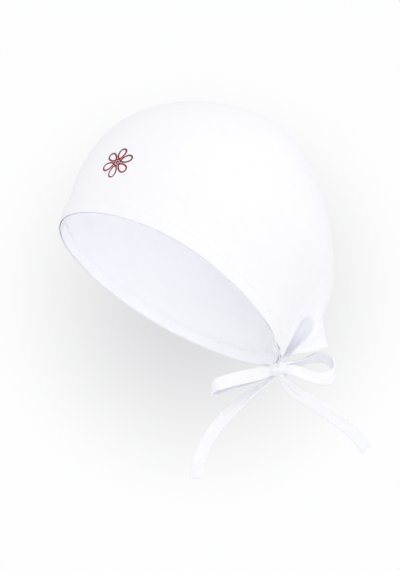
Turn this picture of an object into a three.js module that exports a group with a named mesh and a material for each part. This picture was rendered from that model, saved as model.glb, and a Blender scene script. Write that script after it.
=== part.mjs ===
// Scrub cap: a white cotton tie-back cap in the form it has when worn, its ties in a bow at the nape.
// Millimetres, +Z up. The forehead is at -Y, the nape at +Y and the wearer's left at +X.
// The origin is the middle of the head opening, halfway from the forehead to the nape.

import * as THREE from "three";

// Head opening, measured in its own sloping plane
const OPENING_LENGTH = 203;
const OPENING_HALF_WIDTH = 75;
const OPENING_SLOPE = THREE.MathUtils.degToRad(30);
const OPENING_FRONT_FULLNESS = 0.05;
const OPENING_SIDE_FLATNESS = 0.035;
const OPENING_ARCH = 4.5;
const NAPE_HALF_GAP = 2.9;
const NAPE_PINCH = { depth: 3, angle: 160, width: 14, fade: 12 };

// Crown above the opening
// Each row gives how far the cloth reaches at one lift angle, before it rounds in towards the top
const CROWN_HEIGHT = 171;
const CROWN_SECTIONS = [
  { lift: 0, front: 101.5, back: 117, aside: 75 },
  { lift: 8, front: 108, back: 117, aside: 80 },
  { lift: 14, front: 115, back: 117.5, aside: 85 },
  { lift: 26, front: 127, back: 120.5, aside: 91 },
  { lift: 38, front: 135, back: 116, aside: 94 },
  { lift: 55, front: 138, back: 104, aside: 94 },
  { lift: 72, front: 138, back: 97, aside: 93 },
  { lift: 90, front: 138, back: 94, aside: 92 },
];
const SIDE_FULLNESS = 0.95;

// Cloth
const CLOTH_THICKNESS = 1.2;
const GAP = 0.3;

// Folded hem inside the head opening
const HEM_TOP = THREE.MathUtils.degToRad(3.6);
const HEM_THICKNESS = 1;
const HEM_LAST_SHARE = 0.785;

// Bow at the nape. It spreads in a plane turned towards the wearer's left and down.
// Each strap runs through its rows, measured from the knot: back, up and out within that plane.
// lean and tilt, in degrees, turn the strap's width from upright: sideways, and out of the plane.
const KNOT_CENTRE = new THREE.Vector3(0, 87, -57.5);
const KNOT_RADII = new THREE.Vector3(6, 7.3, 7.3);
const BOW_TURN = THREE.MathUtils.degToRad(-12);
const BOW_DIP = THREE.MathUtils.degToRad(-22);
const TIE_WIDTH = 10.5;
const TIE_THICKNESS = 1.4;
const TIE_EDGE = 0.4;
const LOOP_STEPS = 40;
const TAIL_STEPS = 20;
const FRONT_LOOP = [
  { back: -7.3, up: -1.9, out: 3.0, lean: -8, tilt: -2 },
  { back: -15.2, up: -2.3, out: 12.0, lean: -10, tilt: -8 },
  { back: -27.0, up: -4.1, out: 25.5, lean: -11, tilt: -17 },
  { back: -36.5, up: -5.8, out: 34.5, lean: -8, tilt: -25 },
  { back: -43.2, up: -7.4, out: 39.6, lean: -2, tilt: -30 },
  { back: -48.9, up: -9.6, out: 41.6, lean: 2, tilt: -34 },
  { back: -51.9, up: -12.4, out: 39.0, lean: 3, tilt: -36 },
  { back: -50.2, up: -13.9, out: 34.9, lean: 2, tilt: -37 },
  { back: -45.8, up: -12.6, out: 31.6, lean: -2, tilt: -36 },
  { back: -40.5, up: -10.2, out: 29.0, lean: -7, tilt: -30 },
  { back: -34.5, up: -8.5, out: 25.4, lean: -11, tilt: -22 },
  { back: -26.0, up: -6.8, out: 18.3, lean: -12, tilt: -13 },
  { back: -15.2, up: -4.2, out: 7.5, lean: -10, tilt: -5 },
  { back: -7.8, up: -3.2, out: -0.8, lean: -8, tilt: 0 },
];
const BACK_LOOP = [
  { back: 7.4, up: 0.5, out: 3.5, lean: 15, tilt: -4 },
  { back: 12.5, up: -0.6, out: 3.6, lean: 18, tilt: -34 },
  { back: 21.4, up: -4.0, out: 1.4, lean: 14, tilt: -38 },
  { back: 30.4, up: -7.0, out: -2.5, lean: 8, tilt: -34 },
  { back: 38.5, up: -7.2, out: -7.5, lean: 2, tilt: -18 },
  { back: 43.6, up: -5.4, out: -11.5, lean: 0, tilt: -4 },
  { back: 45.2, up: -2.6, out: -15.5, lean: -2, tilt: 2 },
  { back: 44.6, up: 1.6, out: -19.5, lean: -6, tilt: 14 },
  { back: 42.4, up: 5.2, out: -22.5, lean: -4, tilt: 24 },
  { back: 37.6, up: 8.1, out: -23.8, lean: 0, tilt: 30 },
  { back: 31.5, up: 8.5, out: -22.4, lean: 4, tilt: 40 },
  { back: 25.0, up: 6.8, out: -18.8, lean: 4, tilt: 54 },
  { back: 18.6, up: 5.2, out: -13.0, lean: 0, tilt: 68 },
  { back: 12.0, up: 4.6, out: -7.5, lean: 0, tilt: 74 },
  { back: 7.4, up: 4.4, out: -3.2, lean: 0, tilt: 78 },
];
const FRONT_TAIL = [
  { back: -3.1, up: -5.0, out: -4.1, lean: -30, tilt: -66 },
  { back: -10.0, up: -11.6, out: -7.5, lean: -30, tilt: -74 },
  { back: -21.0, up: -18.8, out: -5.0, lean: -34, tilt: -65 },
  { back: -30.3, up: -26.0, out: 0.5, lean: -37, tilt: -50 },
  { back: -37.8, up: -32.2, out: 4.5, lean: -40, tilt: -36 },
  { back: -46.1, up: -40.8, out: 9.0, lean: -42, tilt: -28 },
  { back: -53.5, up: -50.0, out: 13.0, lean: -38, tilt: -18 },
  { back: -59.0, up: -60.5, out: 16.0, lean: -30, tilt: -8 },
  { back: -62.5, up: -71.0, out: 18.5, lean: -24, tilt: -4 },
  { back: -64.5, up: -82.0, out: 20.0, lean: -18, tilt: -10 },
];
const BACK_TAIL = [
  { back: 2.7, up: -7.2, out: 2.0, lean: 50, tilt: 55 },
  { back: 9.0, up: -14.0, out: 1.5, lean: 44, tilt: 25 },
  { back: 16.5, up: -20.0, out: -1.0, lean: 38, tilt: 5 },
  { back: 29.5, up: -28.5, out: -6.0, lean: 33, tilt: 0 },
  { back: 42.0, up: -36.5, out: -11.0, lean: 33, tilt: -4 },
  { back: 53.0, up: -44.5, out: -15.0, lean: 36, tilt: -8 },
  { back: 62.5, up: -53.5, out: -18.0, lean: 42, tilt: -10 },
  { back: 70.5, up: -63.5, out: -20.0, lean: 48, tilt: -10 },
];

// Plain embroidered rosette on the left of the forehead
const EMBLEM = { share: 0.18, lift: THREE.MathUtils.degToRad(15), radius: 13.5, petals: 6, notch: 0.32 };
const EMBLEM_POINTS = 48;
const EMBLEM_THICKNESS = 0.8;

// Share of the half way round, from forehead to the middle of the back, where the rim meets the knot
const KNOT_SHARE = 0.8;
const KNOT_COLUMN_ANGLE = THREE.MathUtils.degToRad(148);

// How far up the crown the pull of the knot and the flare of the tail are felt
const PULL_TOP = THREE.MathUtils.degToRad(32);
const TAIL_TOP = THREE.MathUtils.degToRad(18.5);

// Lower edge of the cloth behind the knot, from the knot to the corner of the tail
const NAPE_EDGE = [
  { share: 0.80, along: 101.5, aside: 2.9, up: 0.0 },
  { share: 0.84, along: 102.5, aside: 2.4, up: 4.0 },
  { share: 0.87, along: 105.0, aside: 5.0, up: 7.0 },
  { share: 0.90, along: 108.5, aside: 8.0, up: 9.5 },
  { share: 0.95, along: 119.5, aside: 6.0, up: 20.5 },
  { share: 1.00, along: 128.5, aside: 0.0, up: 33.5 },
];
const RIGHT_EDGE_RISE = 9;

// The deep pleat behind the knot
const PLEAT = {
  lip: 0.80, floor: 0.838, edge: 0.90, depth: 6.8, rightDepth: 1.5, undercut: 2.5,
  full: THREE.MathUtils.degToRad(5), closing: THREE.MathUtils.degToRad(11.5),
  high: THREE.MathUtils.degToRad(14), rounding: THREE.MathUtils.degToRad(3),
};

// Soft folds that run up from the knot: where, how wide and deep, and between which heights
const SOFT_FOLDS = [
  { share: 0.756, width: 0.016, depth: 4.2, low: 2, high: 21 },
  { share: 0.722, width: 0.011, depth: 2.0, low: 1, high: 12 },
];

// Mesh fineness
const FRONT_COLUMNS = 17;
const NAPE_COLUMNS = 17;
const CROWN_ROWS = 22;

const WHITE_CLOTH = { color: 0xf7f7fb, roughness: 0.9, metalness: 0 };
const RED_THREAD = { color: 0x8e1b1b, roughness: 0.6, metalness: 0 };

function smooth(value) {
  return THREE.MathUtils.smoothstep(value, 0, 1);
}

// From the opening's own directions to the part's frame
function fromOpening(along, aside, up) {
  const cos = Math.cos(OPENING_SLOPE);
  const sin = Math.sin(OPENING_SLOPE);
  return new THREE.Vector3(aside, along * cos + up * sin, up * cos - along * sin);
}

function openingHalfWidth(angle) {
  const degrees = THREE.MathUtils.radToDeg(angle);
  const fromPinch = (degrees - NAPE_PINCH.angle) / NAPE_PINCH.width;
  const toEnd = smooth((180 - degrees) / NAPE_PINCH.fade);
  return OPENING_HALF_WIDTH * (Math.sin(angle) + OPENING_FRONT_FULLNESS * Math.sin(2 * angle)
    - OPENING_SIDE_FLATNESS * Math.sin(3 * angle)) - NAPE_PINCH.depth * Math.exp(-(fromPinch ** 2)) * toEnd;
}

// Smooth curve through one column of a table, its rows placed by the column named key
function readTable(rows, key, value, column) {
  const last = rows.length - 1;
  let row = 0;
  while (row < last - 1 && value > rows[row + 1][key]) row += 1;
  const at = (index) => rows[THREE.MathUtils.clamp(index, 0, last)];
  const slope = (index) => {
    const before = at(index - 1);
    const after = at(index + 1);
    return (after[column] - before[column]) / (after[key] - before[key]);
  };
  const span = rows[row + 1][key] - rows[row][key];
  const t = (value - rows[row][key]) / span;
  const ease = t * t * (3 - 2 * t);
  return rows[row][column] * (1 - ease) + rows[row + 1][column] * ease
    + span * (t * (1 - t) ** 2 * slope(row) - t * t * (1 - t) * slope(row + 1));
}

// Lower edge of the crown on the wearer's left
function edgePoint(share) {
  if (share > KNOT_SHARE) {
    return {
      along: readTable(NAPE_EDGE, "share", share, "along"),
      aside: readTable(NAPE_EDGE, "share", share, "aside"),
      up: readTable(NAPE_EDGE, "share", share, "up"),
    };
  }
  const angle = Math.PI * share / KNOT_SHARE;
  const nearKnot = ((1 - Math.cos(angle)) / 2) ** 6;
  return {
    along: -OPENING_LENGTH / 2 * Math.cos(angle),
    aside: openingHalfWidth(angle) + NAPE_HALF_GAP * nearKnot,
    up: OPENING_ARCH * Math.sin(angle) ** 2,
  };
}

// Angle round the smooth crown that a column reaches above the folds
function columnAngle(share) {
  if (share > KNOT_SHARE) {
    const rest = (share - KNOT_SHARE) / (1 - KNOT_SHARE);
    return THREE.MathUtils.lerp(KNOT_COLUMN_ANGLE, Math.PI, rest);
  }
  const part = share / KNOT_SHARE;
  return part * THREE.MathUtils.lerp(Math.PI, KNOT_COLUMN_ANGLE, part * part);
}

// The smooth egg of the crown, before the knot pulls it in
function eggPoint(angle, lift) {
  const height = THREE.MathUtils.radToDeg(lift);
  const reach = readTable(CROWN_SECTIONS, "lift", height, Math.cos(angle) > 0 ? "front" : "back");
  const side = readTable(CROWN_SECTIONS, "lift", height, "aside");
  const rimShape = openingHalfWidth(angle) - OPENING_HALF_WIDTH * Math.sin(angle);
  return {
    along: -reach * Math.cos(angle) * Math.cos(lift),
    aside: side * Math.sin(angle) * Math.cos(lift) ** SIDE_FULLNESS + rimShape * Math.cos(lift) ** 4,
    up: CROWN_HEIGHT * Math.sin(lift),
  };
}

function pleatDepth(share, lift) {
  const opening = smooth(lift / PLEAT.full);
  const fromMiddle = (2 * share - PLEAT.lip - PLEAT.edge) / (PLEAT.edge - PLEAT.lip);
  const top = PLEAT.closing - PLEAT.rounding * fromMiddle ** 2;
  const closing = 1 - smooth((lift - top) / (PLEAT.high - PLEAT.closing));
  const inward = smooth((share - PLEAT.lip) / (PLEAT.floor - PLEAT.lip));
  const outward = THREE.MathUtils.clamp((PLEAT.edge - share) / (PLEAT.edge - PLEAT.floor), 0, 1) ** 0.7;
  return opening * closing * inward * outward;
}

function softFoldDepth(share, lift) {
  let depth = 0;
  for (const fold of SOFT_FOLDS) {
    const across = Math.exp(-(((share - fold.share) / fold.width) ** 2));
    const height = THREE.MathUtils.radToDeg(lift);
    const t = THREE.MathUtils.clamp((height - fold.low) / (fold.high - fold.low), 0, 1);
    depth += fold.depth * across * Math.sin(Math.PI * t) ** 1.5;
  }
  return depth;
}

// Outer face of the crown. turn runs 0 to 1 back along the left side and 1 to 2 forward along the right.
function crownPoint(turn, lift) {
  const leftSide = turn <= 1;
  const share = leftSide ? turn : 2 - turn;
  const edge = edgePoint(share);
  const angle = columnAngle(share);
  const foot = eggPoint(angle, 0);
  const egg = eggPoint(angle, lift);
  const pull = 1 - smooth(lift / PULL_TOP);
  const flare = THREE.MathUtils.clamp(1 - lift / TAIL_TOP, 0, 1) ** 1.2;
  const pleat = pleatDepth(share, lift);
  const along = egg.along + (edge.along - foot.along) * flare - PLEAT.undercut * pleat;
  const depth = leftSide ? PLEAT.depth : PLEAT.rightDepth;
  const aside = egg.aside + (edge.aside - foot.aside) * pull - depth * pleat - softFoldDepth(share, lift);
  const behindKnot = Math.max(0, (share - KNOT_SHARE) / (1 - KNOT_SHARE));
  const rise = leftSide ? 0 : RIGHT_EDGE_RISE * Math.sin(Math.PI * behindKnot) ** 1.3;
  const up = egg.up + (edge.up - foot.up + rise) * flare;
  return fromOpening(along, leftSide ? aside : -aside, up);
}

function crownNormal(turn, lift) {
  const step = 1e-3;
  const top = Math.PI / 2;
  if (lift > top - step) return fromOpening(0, 0, 1);
  const low = Math.max(lift - step, 0);
  const round = crownPoint((turn + step) % 2, lift).sub(crownPoint((turn - step + 2) % 2, lift));
  const rise = crownPoint(turn, lift + step).sub(crownPoint(turn, low));
  return round.cross(rise).normalize();
}

// Columns are close together where the cloth is folded at the nape
function crownTurns() {
  const half = [];
  for (let i = 0; i < FRONT_COLUMNS; i += 1) {
    const part = i / FRONT_COLUMNS;
    half.push(KNOT_SHARE * part * (1.18 - 0.18 * part));
  }
  for (let i = 0; i <= NAPE_COLUMNS; i += 1) half.push(KNOT_SHARE + (1 - KNOT_SHARE) * i / NAPE_COLUMNS);
  const otherHalf = half.slice(1, -1).reverse().map((share) => 2 - share);
  return [...half, ...otherHalf];
}

function crownLifts() {
  const lifts = [];
  for (let row = 0; row < CROWN_ROWS; row += 1) {
    const part = row / CROWN_ROWS;
    lifts.push(Math.PI / 2 * part * (0.55 + 0.45 * part));
  }
  return lifts;
}

// Closed body from rings of points, each ring joined to the next, with a point at either end if given
function closedRings(rings, startPoint, endPoint) {
  const positions = [];
  const index = [];
  const count = rings[0].length;
  for (const ring of rings) for (const point of ring) positions.push(point.x, point.y, point.z);
  for (let ring = 0; ring < rings.length - 1; ring += 1) {
    for (let i = 0; i < count; i += 1) {
      const a = ring * count + i;
      const b = ring * count + (i + 1) % count;
      index.push(a, b, b + count, a, b + count, a + count);
    }
  }
  const cap = (ring, point, reverse) => {
    const centre = positions.length / 3;
    positions.push(point.x, point.y, point.z);
    for (let i = 0; i < count; i += 1) {
      const a = ring * count + i;
      const b = ring * count + (i + 1) % count;
      if (reverse) index.push(b, a, centre);
      else index.push(a, b, centre);
    }
  };
  if (startPoint) cap(0, startPoint, true);
  if (endPoint) cap(rings.length - 1, endPoint, false);
  const geometry = new THREE.BufferGeometry();
  geometry.setAttribute("position", new THREE.Float32BufferAttribute(positions, 3));
  geometry.setIndex(index);
  return geometry;
}

function clothMesh(name, geometry, finish) {
  geometry.computeVertexNormals();
  const mesh = new THREE.Mesh(geometry, new THREE.MeshStandardMaterial(finish));
  mesh.name = name;
  return mesh;
}

function crown() {
  const turns = crownTurns();
  const lifts = crownLifts();
  const top = Math.PI / 2;
  const ring = (lift, depth) => turns.map((turn) => (
    crownPoint(turn, lift).addScaledVector(crownNormal(turn, lift), -depth)));
  const inside = lifts.map((lift) => ring(lift, CLOTH_THICKNESS)).reverse();
  const outside = lifts.map((lift) => ring(lift, 0));
  const apex = crownPoint(0, top);
  const innerApex = apex.clone().addScaledVector(crownNormal(0, top), -CLOTH_THICKNESS);
  return clothMesh("crown", closedRings([...inside, ...outside], innerApex, apex), WHITE_CLOTH);
}

// Folded hem: a flat band against the inside of the cloth, open where the ties meet
function rimHem() {
  const turns = crownTurns();
  const left = turns.filter((turn) => turn <= HEM_LAST_SHARE).reverse();
  const right = turns.filter((turn) => turn >= 2 - HEM_LAST_SHARE).reverse();
  const outer = CLOTH_THICKNESS + 1.5 * GAP;
  const corners = [
    { lift: 0, depth: outer }, { lift: HEM_TOP / 2, depth: outer }, { lift: HEM_TOP, depth: outer },
    { lift: HEM_TOP, depth: outer + HEM_THICKNESS }, { lift: HEM_TOP / 2, depth: outer + HEM_THICKNESS },
    { lift: 0, depth: outer + HEM_THICKNESS },
  ];
  const rings = [...left, ...right].map((turn) => corners.map((corner) => (
    crownPoint(turn, corner.lift).addScaledVector(crownNormal(turn, corner.lift), -corner.depth))));
  const middle = (ring) => ring[1].clone().add(ring[4]).multiplyScalar(0.5);
  return clothMesh("rim_hem", closedRings(rings, middle(rings[0]), middle(rings.at(-1))), WHITE_CLOTH);
}

// From the bow's own plane to the part's frame
function fromBow(back, up, out) {
  const outward = new THREE.Vector3(
    Math.cos(BOW_DIP) * Math.cos(BOW_TURN), Math.cos(BOW_DIP) * Math.sin(BOW_TURN), Math.sin(BOW_DIP));
  const backward = new THREE.Vector3(-Math.sin(BOW_TURN), Math.cos(BOW_TURN), 0);
  const upward = outward.clone().cross(backward);
  return backward.multiplyScalar(back).addScaledVector(upward, up).addScaledVector(outward, out);
}

function tieKnot() {
  const geometry = new THREE.SphereGeometry(1, 24, 16);
  geometry.scale(KNOT_RADII.x, KNOT_RADII.y, KNOT_RADII.z);
  const mesh = clothMesh("tie_knot", geometry, WHITE_CLOTH);
  mesh.position.copy(KNOT_CENTRE);
  return mesh;
}

// Flat section of a folded and stitched tie, with its edges taken off
function tieSection() {
  const side = TIE_WIDTH / 2;
  const face = TIE_THICKNESS / 2;
  return [
    [side, -face + TIE_EDGE], [side, face - TIE_EDGE], [side - TIE_EDGE, face], [-side + TIE_EDGE, face],
    [-side, face - TIE_EDGE], [-side, -face + TIE_EDGE], [-side + TIE_EDGE, -face], [side - TIE_EDGE, -face],
  ];
}

function strap(name, rows, steps) {
  const route = new THREE.CatmullRomCurve3(rows.map((row) => (
    fromBow(row.back, row.up, row.out).add(KNOT_CENTRE))), false, "centripetal");
  const section = tieSection();
  const rings = [];
  for (let step = 0; step <= steps; step += 1) {
    const t = step / steps;
    const place = t * (rows.length - 1);
    const row = Math.min(Math.floor(place), rows.length - 2);
    const turned = (column) => THREE.MathUtils.degToRad(
      THREE.MathUtils.lerp(rows[row][column], rows[row + 1][column], place - row));
    const lean = turned("lean");
    const tilt = turned("tilt");
    const forward = route.getTangent(t);
    const across = fromBow(Math.sin(lean) * Math.cos(tilt), Math.cos(lean) * Math.cos(tilt), Math.sin(tilt));
    across.addScaledVector(forward, -across.dot(forward)).normalize();
    const through = forward.clone().cross(across);
    const centre = route.getPoint(t);
    rings.push(section.map(([side, face]) => (
      centre.clone().addScaledVector(across, side).addScaledVector(through, face))));
  }
  return clothMesh(name, closedRings(rings, route.getPoint(0), route.getPoint(1)), WHITE_CLOTH);
}

// A flat rosette that follows the curve of the cloth just outside it
function emblem() {
  const step = 1e-3;
  const centre = crownPoint(EMBLEM.share, EMBLEM.lift);
  const perShare = crownPoint(EMBLEM.share + step, EMBLEM.lift).sub(centre).divideScalar(step);
  const perLift = crownPoint(EMBLEM.share, EMBLEM.lift + step).sub(centre).divideScalar(step);
  const sideways = perShare.clone().normalize();
  const lean = perLift.dot(sideways);
  const rise = perLift.clone().addScaledVector(sideways, -lean).length();
  const place = (around, reach, height) => {
    const lifted = reach * Math.sin(around) / rise;
    const turned = (reach * Math.cos(around) - lifted * lean) / perShare.length();
    const turn = EMBLEM.share + turned;
    const lift = EMBLEM.lift + lifted;
    return crownPoint(turn, lift).addScaledVector(crownNormal(turn, lift), height);
  };
  const ring = (part, height) => {
    const points = [];
    for (let i = 0; i < EMBLEM_POINTS; i += 1) {
      const around = 2 * Math.PI * i / EMBLEM_POINTS;
      const bulge = Math.abs(Math.sin(EMBLEM.petals / 2 * around)) ** 0.7;
      const petal = 1 - EMBLEM.notch + EMBLEM.notch * bulge;
      points.push(place(around, part * EMBLEM.radius * petal, height));
    }
    return points;
  };
  const face = GAP + EMBLEM_THICKNESS;
  const rings = [ring(0.5, GAP), ring(1, GAP), ring(1, face), ring(0.5, face)];
  return clothMesh("emblem", closedRings(rings, place(0, 0, GAP), place(0, 0, face)), RED_THREAD);
}

const cap = new THREE.Group();
cap.add(crown());
cap.add(rimHem());
cap.add(tieKnot());
cap.add(strap("bow_loop_front", FRONT_LOOP, LOOP_STEPS));
cap.add(strap("bow_loop_back", BACK_LOOP, LOOP_STEPS));
cap.add(strap("tie_tail_front", FRONT_TAIL, TAIL_STEPS));
cap.add(strap("tie_tail_back", BACK_TAIL, TAIL_STEPS));
cap.add(emblem());

export default cap;
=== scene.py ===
# Scrub cap of white cotton with its ties in a bow at the nape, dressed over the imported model.
# The shape is worked out in millimetres and turned into metres in each mesh.
# Most sizes are the part's own. The cloth's thickness, the gap at the nape, the pleat, the hem
# and the ties differ from it by a little.

import math

import bpy
import numpy as np
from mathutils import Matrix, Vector, noise


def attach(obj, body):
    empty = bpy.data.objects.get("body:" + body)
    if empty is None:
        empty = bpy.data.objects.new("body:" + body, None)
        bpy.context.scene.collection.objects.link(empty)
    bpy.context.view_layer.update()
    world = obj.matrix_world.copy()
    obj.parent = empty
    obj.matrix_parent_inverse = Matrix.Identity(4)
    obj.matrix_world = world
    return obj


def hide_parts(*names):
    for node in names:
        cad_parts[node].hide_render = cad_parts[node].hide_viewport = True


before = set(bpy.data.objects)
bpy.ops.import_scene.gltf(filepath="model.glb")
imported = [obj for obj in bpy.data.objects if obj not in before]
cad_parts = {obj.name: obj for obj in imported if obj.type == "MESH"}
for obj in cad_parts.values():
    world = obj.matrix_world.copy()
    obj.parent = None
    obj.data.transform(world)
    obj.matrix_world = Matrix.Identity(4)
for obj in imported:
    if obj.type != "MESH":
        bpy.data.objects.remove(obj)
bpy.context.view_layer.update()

MM = 0.001

# Camera of the photograph: it looks up at the wearer's left side from below
CAMERA_YAW = math.radians(-12.0)
CAMERA_DIP = math.radians(-22.1)
CAMERA_ASIDE = 24.0
CAMERA_UP = 5.8
CAMERA_DISTANCE = 1200.0
FOCAL_PIXELS = 1537.0
FRAME_PIXELS = 400.0
FRAME_MIDDLE = (200.0, 285.0)
SENSOR_WIDTH = 36.0

# Head opening, measured in its own sloping plane
OPENING_LENGTH = 203.0
OPENING_HALF_WIDTH = 75.0
OPENING_SLOPE = math.radians(30.0)
OPENING_FRONT_FULLNESS = 0.05
OPENING_SIDE_FLATNESS = 0.035
OPENING_ARCH = 4.5
NAPE_HALF_GAP = 2.6
PINCH_DEPTH = 3.0
PINCH_ANGLE = 160.0
PINCH_WIDTH = 14.0
PINCH_FADE = 12.0

# Crown: lift angle, then how far the cloth reaches in front, behind and aside
CROWN_HEIGHT = 171.0
CROWN_COLUMNS = ("lift", "front", "back", "aside")
CROWN_SECTIONS = [
    (0, 101.5, 117, 75),
    (8, 108, 117, 80),
    (14, 115, 117.5, 85),
    (26, 127, 120.5, 91),
    (38, 135, 116, 94),
    (55, 138, 104, 94),
    (72, 138, 97, 93),
    (90, 138, 94, 92),
]
SIDE_FULLNESS = 0.95

# Share of the way from the forehead to the middle of the back where the rim meets the knot
KNOT_SHARE = 0.8
KNOT_COLUMN_ANGLE = math.radians(148.0)
PULL_TOP = math.radians(32.0)
TAIL_TOP = math.radians(18.5)

# Lower edge of the cloth behind the knot
NAPE_COLUMNS = ("share", "along", "aside", "up")
NAPE_EDGE = [
    (0.80, 101.5, 2.6, 0.0),
    (0.84, 102.5, 2.2, 4.0),
    (0.87, 105.0, 5.0, 7.0),
    (0.90, 108.5, 8.0, 9.5),
    (0.95, 119.5, 6.0, 20.5),
    (1.00, 128.5, 0.0, 33.5),
]
RIGHT_EDGE_RISE = 9.0

# The deep pleat behind the knot
PLEAT_LIP = 0.80
PLEAT_FLOOR = 0.835
PLEAT_EDGE = 0.908
PLEAT_DEPTH = 5.0
PLEAT_DEPTH_RIGHT = 1.5
PLEAT_UNDERCUT = 2.0
PLEAT_START = 0.35
PLEAT_FULL = math.radians(5.0)
PLEAT_CLOSING = math.radians(11.5)
PLEAT_HIGH = math.radians(13.3)
PLEAT_ROUNDING = math.radians(2.2)

# Soft folds that run up from the knot: share, width, depth, and lowest and highest lift
SOFT_FOLDS = [
    (0.756, 0.020, 3.6, 2, 21),
    (0.722, 0.011, 2.0, 1, 12),
]

# Soft dents: middle, then reach aside, along and up, and depth
SOFT_DENTS = [
    ((76, 61, 86), (25, 13, 6), 1.5),
    ((43, 106, 92), (14, 10, 7), 1.4),
]

# Cloth
CLOTH_THICKNESS = 1.0
HEM_HEIGHT = 10.5
HEM_INNER = 1.15
HEM_OUTER = 2.1
HEM_FOLD_LOW = 0.75
HEM_WAVE = 0.10
HEM_WAVE_LENGTH = 5.7
HEM_LAST_SHARE = 0.79

# Stitches: how far their line lies below the hem's top, and the size of each one
STITCH_INSET = 1.6
STITCH_LENGTH = 2.5
STITCH_GAP = 0.8
STITCH_LAST_SHARE = 0.775
THREAD_WIDTH = 0.45
THREAD_HEIGHT = 0.36
THREAD_SIDES = 6
THREAD_PARTS = (0.0, 0.12, 0.5, 0.88, 1.0)

# Relief of the crown's cloth: how far it stands out or in, and how long each wave or lump is
RIM_THICKENING = 0.35
STITCH_GROOVE = 0.3
HALF_ROUND_LENGTH = 350.0
PUCKER_DEPTH = 0.12
PUCKER_LENGTH = 6.3
PUCKER_REACH = 5.5
CRUMPLE_DEPTH = 0.40
CRUMPLE_SIZE = 42.0
FINE_CRUMPLE_DEPTH = 0.12
FINE_CRUMPLE_SIZE = 17.0
BROAD_DEPTH = 1.1
BROAD_SIZE = 85.0
PULL_DEPTH = 0.9
PULL_RAYS = 17.0
PULL_DISTANCE = 32.0
PULL_SPREAD = 24.0

# Bow: each row is back, up and out from the knot, then the lean and tilt of the strap's width
KNOT_CENTRE = np.array([0.0, 87.0, -57.5])
KNOT_HALF_LENGTH = 7.8
KNOT_FLATNESS = 0.95
KNOT_RADIUS = 4.7
KNOT_LAYER = 0.8
KNOT_SLANT = 0.20
KNOT_CREASE = 0.36
KNOT_FINE_CREASE = 0.17
KNOT_LUMP = 0.28
BOW_TURN = math.radians(-12.0)
BOW_DIP = math.radians(-22.0)
TIE_WIDTH = 10.5
TIE_THICKNESS = 1.5
TIE_EDGE = 0.7
TIE_NEAR_KNOT = 9.0
TIE_NARROWING = 0.42
TIE_SWELLING = 0.25
TIE_CREASE = 0.55
TIE_SEAM_DEPTH = 0.16
TIE_SEAM_INSET = 1.5
TIE_SEAM_WIDTH = 0.35
TIE_LUMP = 0.28
TIE_LUMP_LENGTH = 9.0
TIE_CURL = 0.35
TIE_CURL_LENGTH = 16.0
FRONT_LOOP = [
    (-3.5, -1.8, 0.5, -8, 0),
    (-7.3, -1.9, 3.0, -8, -2),
    (-15.2, -2.3, 12.0, -10, -8),
    (-27.0, -4.1, 25.5, -11, -17),
    (-36.5, -5.8, 34.5, -8, -25),
    (-43.2, -7.4, 39.6, -2, -30),
    (-48.9, -9.6, 41.6, 2, -34),
    (-51.9, -12.4, 39.0, 3, -36),
    (-50.2, -13.9, 34.9, 2, -37),
    (-45.8, -12.6, 31.6, -2, -36),
    (-40.5, -10.2, 29.0, -7, -30),
    (-34.5, -8.5, 25.4, -11, -22),
    (-26.0, -6.8, 18.3, -12, -13),
    (-15.2, -4.2, 7.5, -10, -5),
    (-7.8, -3.2, -0.8, -8, 0),
    (-3.5, -2.4, -2.5, -8, 0),
]
BACK_LOOP = [
    (3.0, 0.3, 1.5, 15, 0),
    (7.4, 0.5, 3.5, 15, -4),
    (12.5, -0.6, 3.6, 18, -34),
    (21.4, -4.0, 1.4, 14, -38),
    (30.4, -7.0, -2.5, 8, -34),
    (38.5, -7.2, -7.5, 2, -18),
    (43.6, -5.4, -11.5, 0, -4),
    (45.2, -2.6, -15.5, -2, 2),
    (44.6, 1.6, -19.5, -6, 14),
    (42.4, 5.2, -22.5, -4, 24),
    (37.6, 8.1, -23.8, 0, 30),
    (31.5, 8.5, -22.4, 4, 40),
    (25.0, 6.8, -18.8, 4, 54),
    (18.6, 5.2, -13.0, 0, 68),
    (12.0, 4.6, -7.5, 0, 74),
    (7.4, 4.4, -3.2, 0, 78),
    (3.0, 3.0, -0.5, 0, 78),
]
FRONT_TAIL = [
    (-1.5, -3.0, -3.5, -30, -66),
    (-4.2, -6.2, -5.8, -30, -66),
    (-10.0, -11.6, -7.5, -30, -74),
    (-21.0, -18.8, -5.0, -34, -65),
    (-30.3, -26.0, 0.5, -37, -50),
    (-37.8, -32.2, 4.5, -40, -36),
    (-46.1, -40.8, 9.0, -42, -28),
    (-53.5, -50.0, 13.0, -38, -18),
    (-59.0, -60.5, 16.0, -30, -8),
    (-62.5, -71.0, 18.5, -24, -4),
    (-64.5, -82.0, 20.0, -18, -10),
]
BACK_TAIL = [
    (1.0, -3.5, 1.0, 50, 55),
    (2.7, -7.2, 2.0, 50, 55),
    (9.0, -14.0, 1.5, 44, 25),
    (16.5, -20.0, -1.0, 38, 5),
    (29.5, -28.5, -6.0, 33, 0),
    (42.0, -36.5, -11.0, 33, -4),
    (53.0, -44.5, -15.0, 36, -8),
    (62.5, -53.5, -18.0, 42, -10),
    (70.5, -63.5, -20.0, 48, -10),
]

# Creases pressed along a strap: where they start and end, side of the strap, depth
NO_CREASES = []
BACK_LOOP_CREASES = [(9.0, 34.0, 0.30, 0.8)]
BACK_TAIL_CREASES = [(3.0, 20.0, -0.22, 1.0)]
CREASE_SOFT_ENDS = 7.0
CREASE_WIDTH = 0.17

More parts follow.
